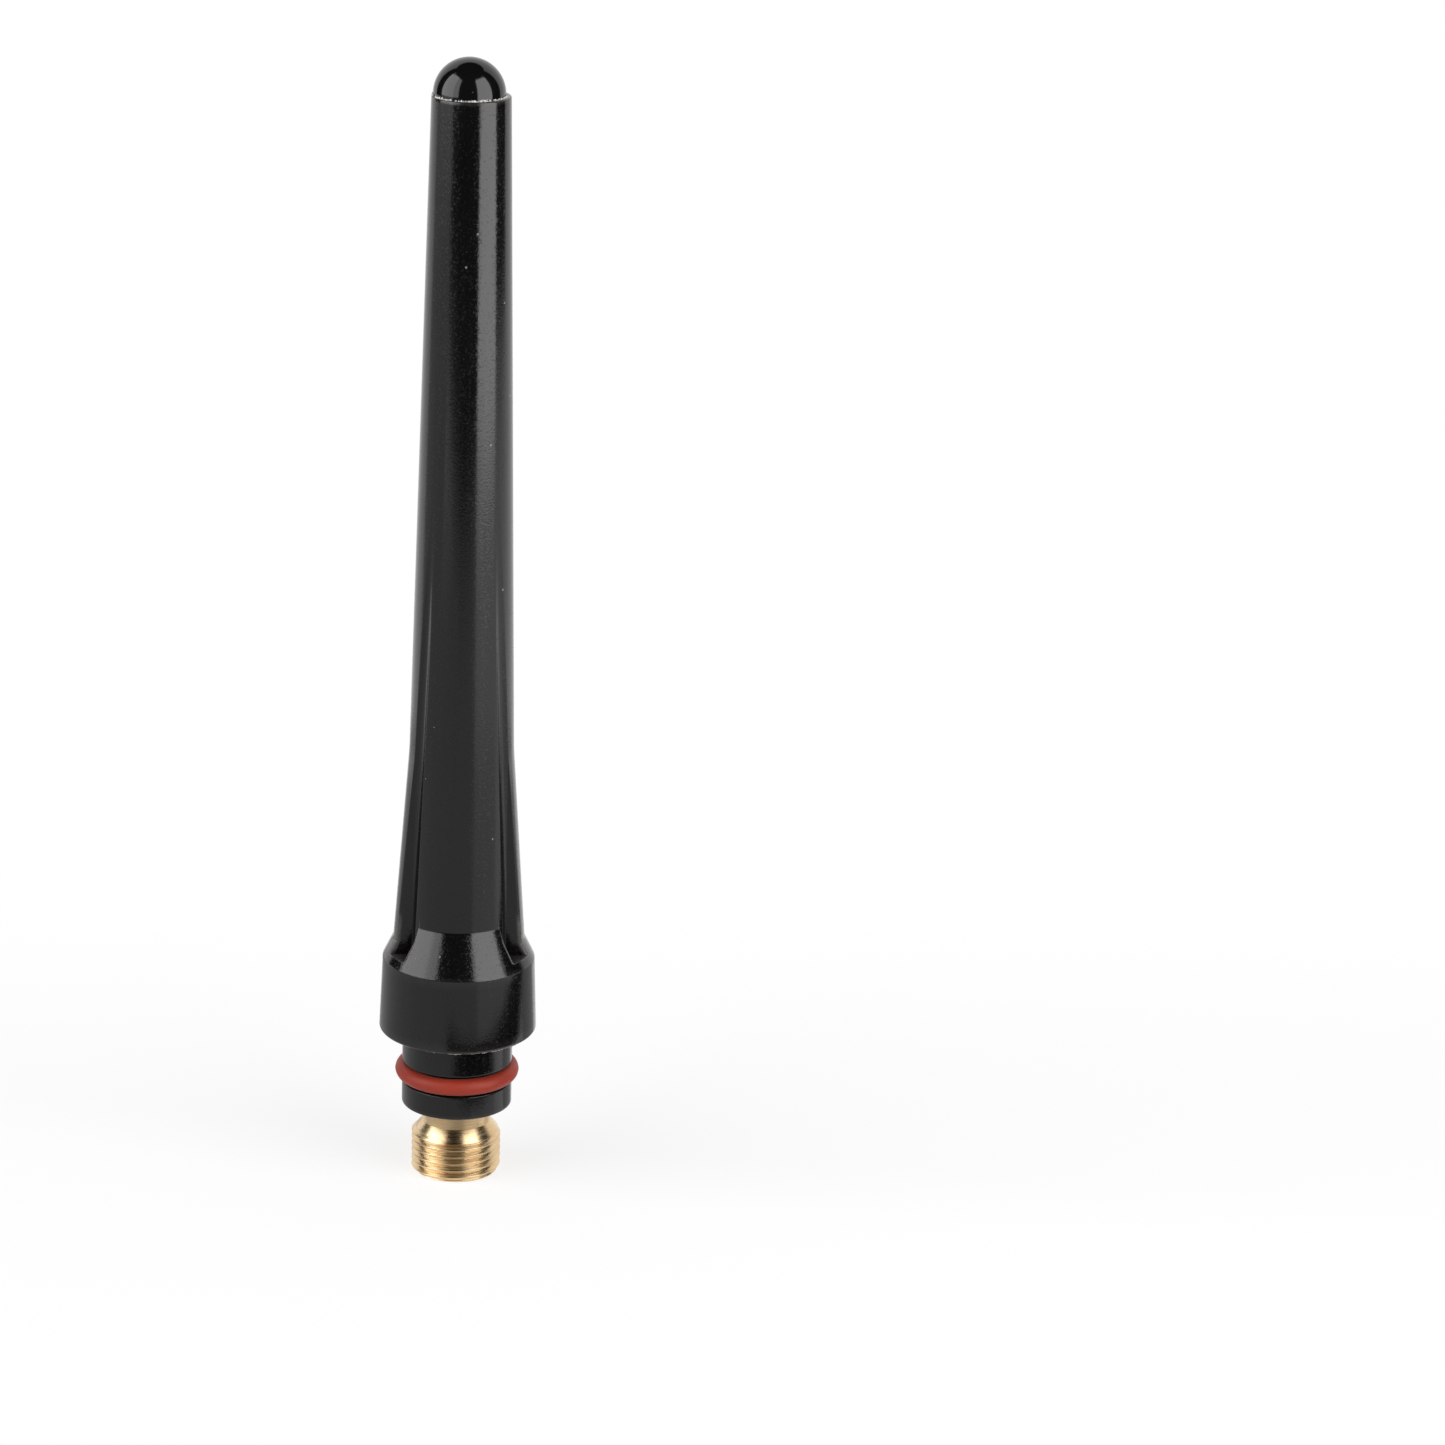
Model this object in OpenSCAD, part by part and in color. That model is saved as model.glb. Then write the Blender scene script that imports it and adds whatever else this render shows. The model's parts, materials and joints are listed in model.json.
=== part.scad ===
// Long back cap for a welding torch. It stands on its brass thread with its axis along +Z.
// The origin is the centre of the brass end face, and the rounded end points up.
// Units are millimetres.

/* [Tube] */
// Height of the tube's rim above the brass end face
rim_z = 116.7; // [100:0.1:130]
// Radius of the tube at its rim
rim_r = 4.05; // [3.95:0.01:4.3]
// Radius of the tube where it meets the conical shoulder
tube_base_r = 5.87; // [5.7:0.01:6.1]
// Radius of the rounded edge at the rim
rim_edge_r = 0.15; // [0.05:0.05:0.3]

/* [Collar] */
// Height of the collar's underside
collar_z = 16.25; // [15.5:0.05:17]
// Height of the collar's top edge
collar_top_z = 24.4; // [22:0.1:25]
// Radius of the collar at its underside
collar_r = 8.35; // [8:0.05:8.6]
// Radius of the collar at its top edge
collar_top_r = 8.07; // [7.9:0.01:8.1]
// Radius of the rounded edge round the underside
collar_edge_r = 0.4; // [0.2:0.05:0.6]
// Fall of the conical shoulder's radius for each millimetre of height
shoulder_slope = 0.49; // [0.45:0.01:0.55]

/* [Grip] */
// Radius of a side rib's crest where it meets the shoulder
rib_base_r = 6.95; // [6.6:0.05:7.1]
// Height at which a side rib runs out into the tube
rib_top_z = 47.6; // [42:0.1:55]
// Half width of a side rib at its foot
rib_half_w = 2.4; // [2.15:0.05:2.45]
// Draft of a side rib's walls
rib_draft = 8; // [4:0.5:12]
// Radius of a flute's round section
flute_r = 1.35; // [1.25:0.05:1.45]
// Distance of a flute's floor from the axis at the shoulder
flute_foot_r = 5.4; // [5.4:0.05:5.65]
// Angle of a flute's foot from the front or back face
flute_foot_angle = 61; // [60:0.5:62]
// Height of a flute's upper tip
flute_tip_z = 72; // [68:0.5:74]
// Angle of a flute's tip from the front or back face
flute_tip_angle = 43; // [41:0.5:45]
// Height of the notches' flat floor in the shoulder
notch_z = 25.3; // [25.1:0.1:26]
// Angle from the front or back face at which a notch starts on the tube
notch_angle = 46.5; // [45:0.5:48]
// Direction of a notch's front wall, from the front or back face
notch_wall_angle = 68; // [66:1:72]

/* [Seal] */
// Height of the lower end of the seal spigot
spigot_z = 7.8; // [7.5:0.05:8.1]
// Radius of the seal spigot
spigot_r = 5.87; // [5.8:0.01:5.95]
// Chamfer at the lower end of the spigot
spigot_chamfer = 0.15; // [0.1:0.05:0.3]
// Height of the middle of the seal groove
seal_z = 11.5; // [11.3:0.05:11.7]
// Width of the seal groove
seal_groove_w = 2.3; // [2:0.1:2.6]
// Radius of the seal groove's floor
seal_floor_r = 4.85; // [4.83:0.01:4.9]
// Thickness of the O-ring's round section
ring_section = 1.78; // [1.7:0.01:1.85]

/* [Thread] */
// Major diameter of the thread
thread_d = 9.525; // [9.4:0.005:9.6]
// Pitch of the thread
thread_pitch = 0.79375; // [0.75:0.00625:0.8]
// Sides of the thread ridge in each turn
thread_sides = 36; // [24:4:48]
// Radius of the chamfered end face
thread_end_r = 4.35; // [4.3:0.01:4.45]
// Height at which the relief cone starts
cone_z = 4.55; // [4.4:0.05:4.7]
// Radius at the start of the relief cone
cone_r = 4.6; // [4.5:0.02:4.7]

/* [Insert] */
// Height at which the neck starts
neck_z = 5.7; // [5.5:0.05:5.9]
// Radius of the neck
neck_r = 3.6; // [3.5:0.02:3.7]
// Height of the insert's inner end
insert_top_z = 17; // [16.5:0.1:18]
// Radius at the bottom of the knurl's teeth
knurl_in_r = 3.85; // [3.8:0.01:3.9]
// Radius at the tips of the knurl's teeth
knurl_r = 4.15; // [4.05:0.01:4.2]
// Teeth round the knurl
knurl_teeth = 24; // [16:4:32]

/* [Channel] */
// Radius of the collet socket in the brass
socket_r = 2.75; // [2.65:0.01:2.8]
// Depth of the collet socket
socket_z = 6.5; // [6:0.1:7]
// Radius of the electrode channel
channel_r = 2.2; // [2.1:0.01:2.3]
// Chamfer at the mouth of the socket
mouth_chamfer = 0.3; // [0.2:0.05:0.4]

/* [End plug] */
// Radius of the dome
dome_r = 3.7; // [3.5:0.01:3.85]
// Straight height of the dome below its round part
dome_rise = 0.15; // [0.1:0.05:0.3]
// Sideways set of the dome on the rim
dome_shift = 0.2; // [0:0.05:0.25]
// Radius of the plug's spigot
plug_r = 2.8; // [2.6:0.05:3]
// Depth of the plug's spigot in the tube
plug_depth = 3.5; // [2.5:0.1:5]

/* [Hidden] */
$fn = 96;

// Overlap that keeps two cuts from sharing a face
eps = 0.01;

// Slopes and meeting points of the body's outline
shoulder_z = collar_top_z + (collar_top_r - tube_base_r) / shoulder_slope;
tube_slope = (tube_base_r - rim_r) / (rim_z - shoulder_z);
rib_base_z = collar_top_z + (collar_top_r - rib_base_r) / shoulder_slope;
rib_top_r = tube_base_r - tube_slope * (rib_top_z - shoulder_z);
rib_slope = (rib_base_r - rib_top_r) / (rib_top_z - rib_base_z);

// Flutes: straight round cuts, whose axes lean in towards the front or back face as they rise
flute_foot = (flute_foot_r + flute_r) * [sin(flute_foot_angle), -cos(flute_foot_angle)];
flute_tip_r = tube_base_r - tube_slope * (flute_tip_z - shoulder_z) + flute_r;
flute_tip = flute_tip_r * [sin(flute_tip_angle), -cos(flute_tip_angle)];
flute_rise = flute_tip_z - shoulder_z;
flute_lean = (flute_tip - flute_foot) / flute_rise;
flute_runout = 8;

// The tube's wall is four cones, which meet at these heights and swell it by a hair
tube_swell = 0.005;
tube_swell_drop = [22, 10, -4];
tube_swell_z = [for (drop = tube_swell_drop) flute_tip_z - drop];

// Insert: the neck goes a little way into the body, and a gap parts the knurl's two bands
neck_cover = 0.8;
knurl_band_h = 3.6;
knurl_gap_h = 1.2;
knurl_gap_depth = 0.35;
insert_chamfer = 0.4;
seat_z = socket_z + socket_r - channel_r;
neck_top_z = spigot_z + neck_cover;
knurl_gap_z = neck_top_z + knurl_band_h;
knurl_gap_top_z = knurl_gap_z + knurl_gap_h;
knurl_gap_r = knurl_in_r - knurl_gap_depth;
knurl_top_z = insert_top_z - insert_chamfer;

// External thread: its flanks lean 30 degrees, and its depth is 0.6134 of the pitch
flank_angle = 30;
depth_ratio = 0.6134;
crest_r = thread_d / 2;
thread_depth = depth_ratio * thread_pitch;
thread_root_r = crest_r - thread_depth;
crest_w = thread_pitch / 8;
thread_lead_in = 0.15;
thread_overrun = 0.45;
thread_stop_z = cone_z + thread_overrun;
cone_fall = (cone_r - neck_r) / (neck_z - cone_z);
run_in_turns = 0.12;

// Depth to which ridges and teeth are sunk in the metal that carries them
bury = 0.1;
base_w = crest_w + 2 * (thread_depth + bury) * tan(flank_angle);

// Flat that the O-ring's section has against its groove floor
ring_squeeze = 0.04;

// Steps in the outline of the dome
dome_steps = 16;

// Points of a quarter round edge in the half plane of a turned outline
function edge_arc(r, z, rad, from, to, steps = 4) =
    [for (i = [0:steps]) [r + rad * cos(from + (to - from) * i / steps),
                          z + rad * sin(from + (to - from) * i / steps)]];

// Radius that the chamfered end and the relief cone leave at a height
function bar_r(z) = min(crest_r, thread_end_r + z, cone_r - (z - cone_z) * cone_fall);

// Outline of the spigot and the tube, with the collar left out
tube_outline = concat(
    [[0, spigot_z],
     [spigot_r - spigot_chamfer, spigot_z],
     [spigot_r, spigot_z + spigot_chamfer],
     [spigot_r, seal_z - seal_groove_w / 2],
     [seal_floor_r, seal_z - seal_groove_w / 2],
     [seal_floor_r, seal_z + seal_groove_w / 2],
     [spigot_r, seal_z + seal_groove_w / 2],
     [spigot_r, collar_z + collar_edge_r],
     [tube_base_r + tube_slope * (shoulder_z - collar_z - 2 * collar_edge_r), collar_z + 2 * collar_edge_r]],
    [for (z = tube_swell_z) [tube_base_r - tube_slope * (z - shoulder_z) + tube_swell, z]],
    edge_arc(rim_r - rim_edge_r, rim_z - rim_edge_r, rim_edge_r, 0, 90),
    [[0, rim_z]]);

// Outline of the collar and its conical shoulder, which ends just inside the tube
collar_outline = concat(
    [[0, collar_z]],
    edge_arc(collar_r - collar_edge_r, collar_z + collar_edge_r, collar_edge_r, -90, 0),
    [[collar_top_r, collar_top_z],
     [tube_base_r - shoulder_slope * bury, shoulder_z + bury],
     [0, shoulder_z + bury]]);

// Turned outline of the insert without its knurl and thread
insert_outline = [
    [0, 0],
    [thread_root_r, 0],
    [thread_root_r, cone_z + (cone_r - thread_root_r) / cone_fall],
    [neck_r, neck_z],
    [neck_r, neck_top_z],
    [knurl_in_r, neck_top_z],
    [knurl_in_r, knurl_gap_z],
    [knurl_gap_r, knurl_gap_z],
    [knurl_gap_r, knurl_gap_top_z],
    [knurl_in_r, knurl_gap_top_z],
    [knurl_in_r, knurl_top_z],
    [knurl_in_r - insert_chamfer, insert_top_z],
    [0, insert_top_z]];

// One band of the straight knurl: a star of pointed teeth
module knurl_band(z, top) {
    translate([0, 0, z])
        linear_extrude(top - z)
            polygon([for (i = [0:2 * knurl_teeth - 1])
                let (r = i % 2 == 0 ? knurl_r : knurl_in_r - bury, a = i * 180 / knurl_teeth)
                [r * cos(a), r * sin(a)]]);
}

// The part of the insert that the body is moulded round
module insert_shank() {
    rotate_extrude()
        polygon(insert_outline);
    knurl_band(neck_top_z, knurl_gap_z);
    knurl_band(knurl_gap_top_z, knurl_top_z);
}

// Ridge of the thread, buried a little in the core and cut to the bar's chamfers
module thread_ridge() {
    turns = (thread_stop_z - thread_lead_in) / thread_pitch;
    steps = ceil(turns * thread_sides);
    heights = [-base_w / 2, -crest_w / 2, crest_w / 2, base_w / 2];
    ring_points = [for (i = [0:steps], k = [0:3])
        let (turn = i / thread_sides,
             a = 360 * turn,
             z = max(2 * eps, thread_lead_in + turn * thread_pitch + heights[k]),
             core = min(thread_root_r, bar_r(z)),
             crest = bar_r(z) > thread_root_r ? bar_r(z) : core - bury / 2,
             grown = core - bury / 2 + (crest - core + bury / 2) * min(1, turn / run_in_turns),
             r = (k == 0 || k == 3) ? core - bury : grown)
        [r * cos(a), r * sin(a), z]];
    sides = [for (i = [0:steps - 1], k = [0:3])
        let (n = (k + 1) % 4)
        each [[4 * i + k, 4 * i + 4 + n, 4 * i + 4 + k],
              [4 * i + k, 4 * i + n, 4 * i + 4 + n]]];
    caps = [[3, 2, 1, 0], [4 * steps, 4 * steps + 1, 4 * steps + 2, 4 * steps + 3]];
    polyhedron(ring_points, concat(sides, caps));
}

// Collet socket, conical seat and electrode channel
module insert_bore() {
    rotate_extrude()
        polygon([
            [0, -eps],
            [socket_r + mouth_chamfer + eps, -eps],
            [socket_r, mouth_chamfer],
            [socket_r, socket_z],
            [channel_r, seat_z],
            [channel_r, insert_top_z + eps],
            [0, insert_top_z + eps]]);
}

module threaded_insert() {
    color("#d9b873")
        difference() {
            union() {
                insert_shank();
                thread_ridge();
            }
            insert_bore();
        }
}

// Plan of a side rib: walls that draw together outwards
module rib_plan(reach) {
    narrow = rib_half_w - (reach - tube_base_r) * tan(rib_draft);
    wide = rib_half_w + tube_base_r * tan(rib_draft);
    polygon([[0, -wide], [reach, -narrow], [reach, narrow], [0, wide]]);
}

// Side ribs: a wider cone, kept only within the ribs' plan
module side_ribs() {
    intersection() {
        rotate_extrude()
            polygon([
                [0, collar_top_z],
                [rib_base_r + rib_slope * (rib_base_z - collar_top_z), collar_top_z],
                [rib_top_r - rib_slope, rib_top_z + 1],
                [0, rib_top_z + 1]]);
        for (side = [0, 180])
            rotate(side)
                linear_extrude(rib_top_z + 2)
                    rib_plan(collar_r);
    }
}

// One notch of the shoulder, between its front wall and the side rib
module shoulder_notch() {
    start = tube_base_r * [sin(notch_angle), -cos(notch_angle)];
    out = 2 * collar_r * [sin(notch_wall_angle), -cos(notch_wall_angle)];
    translate([0, 0, notch_z])
        linear_extrude(collar_r)
            difference() {
                polygon([[0, 0], start, start + out, [2 * collar_r, 0]]);
                rib_plan(3 * collar_r);
            }
}

// One flute, from below the shoulder up to where it has left the tube
module flute() {
    low = notch_z - shoulder_z;
    high = flute_rise + flute_runout;
    multmatrix([[1, 0, flute_lean[0], flute_foot[0]],
                [0, 1, flute_lean[1], flute_foot[1]],
                [0, 0, 1, shoulder_z]])
        translate([0, 0, low])
            cylinder(r = flute_r, h = high - low, $fn = 64);
}

// The same thing in all four quarters
module in_quarters() {
    for (side = [0, 1])
        for (face = [0, 1])
            mirror([side, 0, 0])
                mirror([0, face, 0])
                    children();
}

module cap_body() {
    color("#1c1c1e")
        difference() {
            union() {
                rotate_extrude()
                    polygon(tube_outline);
                difference() {
                    rotate_extrude()
                        polygon(collar_outline);
                    in_quarters()
                        shoulder_notch();
                }
                side_ribs();
            }
            in_quarters()
                flute();
            insert_shank();
            translate([0, 0, insert_top_z - eps])
                cylinder(r = channel_r, h = rim_z - insert_top_z);
            translate([0, 0, rim_z - plug_depth])
                cylinder(r = plug_r, h = plug_depth + eps);
        }
}

module o_ring() {
    ring_r = seal_floor_r - ring_squeeze + ring_section / 2;
    color("#a63226")
        difference() {
            translate([0, 0, seal_z])
                rotate_extrude()
                    translate([ring_r, 0])
                        circle(d = ring_section, $fn = 48);
            translate([0, 0, seal_z - ring_section])
                cylinder(r = seal_floor_r, h = 2 * ring_section);
        }
}

module end_plug() {
    color("#151516")
        union() {
            translate([0, 0, rim_z - plug_depth])
                cylinder(r = plug_r, h = plug_depth);
            translate([-dome_shift, 0, rim_z])
                rotate_extrude()
                    polygon(concat(
                        [[0, 0], [dome_r, 0]],
                        edge_arc(0, dome_rise, dome_r, 0, 90, dome_steps)));
        }
}

cap_body();
end_plug();
o_ring();
threaded_insert();
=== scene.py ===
import json
import math
from random import Random

import bmesh
import bpy
from mathutils import Matrix, Vector


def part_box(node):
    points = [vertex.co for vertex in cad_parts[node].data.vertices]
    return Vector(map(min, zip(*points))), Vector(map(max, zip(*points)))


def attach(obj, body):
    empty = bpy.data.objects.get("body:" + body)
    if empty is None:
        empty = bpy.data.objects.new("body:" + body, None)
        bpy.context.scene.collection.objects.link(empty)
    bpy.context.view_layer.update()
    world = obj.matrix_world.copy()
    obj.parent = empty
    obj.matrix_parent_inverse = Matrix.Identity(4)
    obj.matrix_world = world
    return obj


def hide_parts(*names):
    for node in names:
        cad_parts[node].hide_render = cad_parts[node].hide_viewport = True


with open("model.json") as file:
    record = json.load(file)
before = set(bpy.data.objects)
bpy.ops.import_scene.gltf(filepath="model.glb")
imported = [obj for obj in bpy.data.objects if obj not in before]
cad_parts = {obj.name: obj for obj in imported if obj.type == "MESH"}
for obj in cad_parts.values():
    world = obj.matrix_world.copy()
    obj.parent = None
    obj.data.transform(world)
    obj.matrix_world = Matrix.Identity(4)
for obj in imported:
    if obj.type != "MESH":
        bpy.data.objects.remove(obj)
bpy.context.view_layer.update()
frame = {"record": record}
mm = 0.001
mergeGap = 0.0005 * mm  # points nearer than this are one
mounts = {mount["name"]: mount for mount in frame["record"]["mounts"]}


def boxOf(node):
    low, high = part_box(node)
    return low / mm, high / mm  # in mm, like every dictionary below


def linearColour(code):
    # hex sRGB to the linear values that Blender stores
    parts = [int(code[k:k + 2], 16) / 255 for k in (1, 3, 5)]
    return [c / 12.92 if c <= 0.04045 else ((c + 0.055) / 1.055) ** 2.4 for c in parts] + [1.0]


def addNode(tree, kind, inputs=None, **settings):
    node = tree.nodes.new(kind)
    for name, value in settings.items():
        setattr(node, name, value)
    for socket, value in (inputs or {}).items():
        if isinstance(value, bpy.types.NodeSocket):
            tree.links.new(value, node.inputs[socket])
        else:
            node.inputs[socket].default_value = value
    return node


def newMaterial(name):
    material = bpy.data.materials.new(name)
    material.use_nodes = True
    material.node_tree.nodes.clear()
    return material, material.node_tree


def setRamp(node, stops):
    ramp = node.color_ramp
    while len(ramp.elements) < len(stops):
        ramp.elements.new(0.5)
    for element, (place, colour) in zip(ramp.elements, stops):
        element.position = place
        element.color = colour


def shadeAndPlace(bm, name, node, material, sharpAngle):
    # merge, turn the faces outwards, and hand the piece to the part's only body
    bmesh.ops.remove_doubles(bm, verts=bm.verts, dist=mergeGap)
    bmesh.ops.recalc_face_normals(bm, faces=bm.faces)
    mesh = bpy.data.meshes.new(name)
    bm.to_mesh(mesh)
    bm.free()
    mesh.shade_smooth()
    mesh.set_sharp_from_angle(angle=math.radians(sharpAngle))
    piece = bpy.data.objects.new(name, mesh)
    bpy.context.scene.collection.objects.link(piece)
    piece.data.materials.append(material)
    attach(piece, "root")
    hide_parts(node)
    print("made", name, "with", len(mesh.polygons), "faces")


# camera: a long lens a little above the cap
cameraSetup = {
    "place": (0.0, -484.75, 209.72),
    "lens": 121.3, "sensor": 36.0,
    "down": 18.124, "yaw": 3.22, "roll": 1.862,
    "nearest": 20.0, "farthest": 20000.0,
}


def makeCamera(setup):
    data = bpy.data.cameras.new("studioCamera")
    data.lens = setup["lens"]
    data.sensor_width = setup["sensor"]
    data.clip_start = setup["nearest"] * mm
    data.clip_end = setup["farthest"] * mm
    camera = bpy.data.objects.new("studioCamera", data)
    turn = Matrix.Rotation(math.radians(-setup["yaw"]), 4, "Z")
    turn @= Matrix.Rotation(math.radians(90 - setup["down"]), 4, "X")
    turn @= Matrix.Rotation(math.radians(setup["roll"]), 4, "Z")
    camera.matrix_world = Matrix.Translation(Vector(setup["place"]) * mm) @ turn
    bpy.context.scene.collection.objects.link(camera)
    bpy.context.scene.camera = camera


makeCamera(cameraSetup)
print("camera ready")


# studio: a white sheet, two softboxes, and black cloth that shows only in reflections;
# angles go round the cap from the front, to the right
studio = {
    "sheetLeft": 2600.0, "sheetRight": 440.0, "sheetFront": 300.0, "sheetBack": 2600.0,
    "lift": 0.72, "shadowShare": 0.36, "ambient": 0.30,
    # the sheet turns plain white between these depths behind the cap, and these distances from it
    "whiteDepth": (-10.0, 90.0), "whiteDistance": (170.0, 300.0),
    "softboxes": {
        "rightSoftbox": {
            "angle": 50.0, "distance": 340.0, "bottom": 0.0,
            "width": 317.0, "height": 552.0, "glow": 2.6},
        "leftSoftbox": {
            "angle": -66.0, "distance": 450.0, "bottom": 80.0,
            "width": 540.0, "height": 634.0, "glow": 2.4},
    },
    # cloths: angles at both ends, height of the lower edge
    "clothRadius": 700.0, "clothTop": 1316.0, "clothSteps": 24, "ceilingRadius": 840.0,
    "cloths": {
        "frontCloth": (-53.0, 27.0, -300.0),
        "rightCloth": (75.0, 112.0, -300.0),
        "leftCloth": (-125.0, -97.0, 20.0),
    },
    # cards: angles at both ends, inner and outer radius, colour of their glow, which paints the floor's
    # shade into reflections
    "cardLift": 0.6, "cardSteps": 16,
    "cards": {
        "leftBackCard": (-158.0, -112.0, 18.0, 160.0, "#bcbcbc"),
        "rightBackCard": (103.0, 140.0, 18.0, 160.0, "#b0b0b0"),
        "leftCard": (-112.0, -53.0, 7.0, 700.0, "#bcbcbc"),
        "frontCard": (-53.0, 27.0, 7.0, 300.0, "#bcbcbc"),
        "rightCard": (27.0, 78.0, 7.0, 170.0, "#dcdcdc"),
    },
    "barFrom": (-8.0, -41.0, 4.0), "barTo": (76.0, 17.0, 8.0), "barRadii": (4.0, 8.3),
}


def paperMaterial(s):
    # matt white paper: real shading near the cap, plain white farther away
    material, tree = newMaterial("matt white paper")
    where = addNode(tree, "ShaderNodeTexCoord").outputs["Object"]
    fibres = addNode(tree, "ShaderNodeTexNoise", {
        "Vector": where, "Scale": 260.0, "Detail": 3.0})  # clumps of fibres, 4 mm
    tone = addNode(tree, "ShaderNodeValToRGB", {"Fac": fibres.outputs["Fac"]})
    setRamp(tone, [(0.3, linearColour("#e6e6e6")), (0.7, linearColour("#ececec"))])
    bump = addNode(tree, "ShaderNodeBump", {
        "Height": fibres.outputs["Fac"], "Strength": 0.05, "Distance": 0.0001})
    sheet = addNode(tree, "ShaderNodeBsdfPrincipled", {
        "Base Color": tone.outputs["Color"], "Roughness": 0.9, "Normal": bump.outputs["Normal"]})
    depth = addNode(tree, "ShaderNodeSeparateXYZ", {"Vector": where}).outputs["Y"]
    start, end = s["whiteDepth"]
    back = addNode(tree, "ShaderNodeMapRange", {
        "Value": depth, "From Min": start * mm, "From Max": end * mm}, interpolation_type="SMOOTHSTEP")
    distance = addNode(tree, "ShaderNodeVectorMath", {0: where}, operation="LENGTH").outputs["Value"]
    start, end = s["whiteDistance"]
    far = addNode(tree, "ShaderNodeMapRange", {
        "Value": distance, "From Min": start * mm, "From Max": end * mm}, interpolation_type="SMOOTHSTEP")
    plain = addNode(tree, "ShaderNodeMath", {
        0: back.outputs["Result"], 1: far.outputs["Result"]}, operation="MAXIMUM")
    seen = addNode(tree, "ShaderNodeBsdfDiffuse", {"Color": [s["shadowShare"]] * 3 + [1.0]})
    lift = addNode(tree, "ShaderNodeEmission", {"Color": linearColour("#fdfdfd"), "Strength": s["lift"]})
    near = addNode(tree, "ShaderNodeAddShader", {0: seen.outputs[0], 1: lift.outputs[0]})
    white = addNode(tree, "ShaderNodeEmission", {"Color": linearColour("#ffffff"), "Strength": 1.0})
    shown = addNode(tree, "ShaderNodeMixShader", {
        0: plain.outputs[0], 1: near.outputs[0], 2: white.outputs[0]})
    paper = addNode(tree, "ShaderNodeMixShader", {
        0: seenRay(tree), 1: sheet.outputs[0], 2: shown.outputs[0]})
    # from below the sheet is clear, so that the foot can be looked at
    side = addNode(tree, "ShaderNodeNewGeometry")
    clear = addNode(tree, "ShaderNodeBsdfTransparent")
    oneSided = addNode(tree, "ShaderNodeMixShader", {
        0: side.outputs["Backfacing"], 1: paper.outputs[0], 2: clear.outputs[0]})
    addNode(tree, "ShaderNodeOutputMaterial", {"Surface": oneSided.outputs[0]})
    return material


def seenRay(tree):
    # 1 for what the camera, a mirror or a glass looks at, 0 for light that is scattered
    ray = addNode(tree, "ShaderNodeLightPath")
    mirrored = addNode(tree, "ShaderNodeMath", {
        0: ray.outputs["Is Camera Ray"], 1: ray.outputs["Is Glossy Ray"]}, operation="MAXIMUM")
    either = addNode(tree, "ShaderNodeMath", {
        0: mirrored.outputs[0], 1: ray.outputs["Is Transmission Ray"]}, operation="MAXIMUM")
    return either.outputs[0]


def stagePiece(bm, name, material):
    mesh = bpy.data.meshes.new(name)
    bm.to_mesh(mesh)
    bm.free()
    mesh.materials.append(material)
    piece = bpy.data.objects.new(name, mesh)
    bpy.context.scene.collection.objects.link(piece)
    return piece


def makeSheet(s):
    bm = bmesh.new()
    bmesh.ops.create_grid(bm, x_segments=1, y_segments=1, size=0.5)
    size = (s["sheetLeft"] + s["sheetRight"], s["sheetFront"] + s["sheetBack"])
    middle = ((s["sheetRight"] - s["sheetLeft"]) / 2, (s["sheetBack"] - s["sheetFront"]) / 2)
    bmesh.ops.scale(bm, vec=(size[0] * mm, size[1] * mm, 1.0), verts=bm.verts)
    bmesh.ops.translate(bm, vec=(middle[0] * mm, middle[1] * mm, 0.0), verts=bm.verts)
    stagePiece(bm, "paperSheet", paperMaterial(s))


def clothMaterial():
    # black velvet flag, which gives back almost nothing
    material, tree = newMaterial("black velvet cloth")
    where = addNode(tree, "ShaderNodeTexCoord").outputs["Object"]
    nap = addNode(tree, "ShaderNodeTexNoise", {
        "Vector": where, "Scale": 40.0, "Detail": 2.0})  # brushed patches, 25 mm
    tone = addNode(tree, "ShaderNodeValToRGB", {"Fac": nap.outputs["Fac"]})
    setRamp(tone, [(0.3, linearColour("#020202")), (0.7, linearColour("#060606"))])
    cloth = addNode(tree, "ShaderNodeBsdfDiffuse", {"Color": tone.outputs["Color"]})
    addNode(tree, "ShaderNodeOutputMaterial", {"Surface": cloth.outputs[0]})
    return material


def onlyReflected(piece):
    piece.visible_camera = False
    piece.visible_diffuse = False
    piece.visible_transmission = False
    piece.visible_volume_scatter = False
    piece.visible_shadow = False


def sweepEdge(points, start, end, steps):
    # one edge in front of the cap, turned about its axis from one angle to another
    bm = bmesh.new()
    ends = [bm.verts.new(Vector(point) * mm) for point in points]
    edge = bm.edges.new(ends)
    turn = Matrix.Rotation(math.radians(start), 3, "Z")
    bmesh.ops.rotate(bm, verts=ends, cent=(0, 0, 0), matrix=turn)
    bmesh.ops.spin(bm, geom=ends + [edge], cent=(0, 0, 0), axis=(0, 0, 1), dvec=(0, 0, 0),
                   angle=math.radians(end - start), steps=steps, use_merge=False)
    return bm


def makeCloth(name, s, start, end, bottom, material):
    # an upright cloth that hangs along part of a circle round the cap
    upright = [(0.0, -s["clothRadius"], z) for z in (bottom, s["clothTop"])]
    onlyReflected(stagePiece(sweepEdge(upright, start, end, s["clothSteps"]), name, material))


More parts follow.
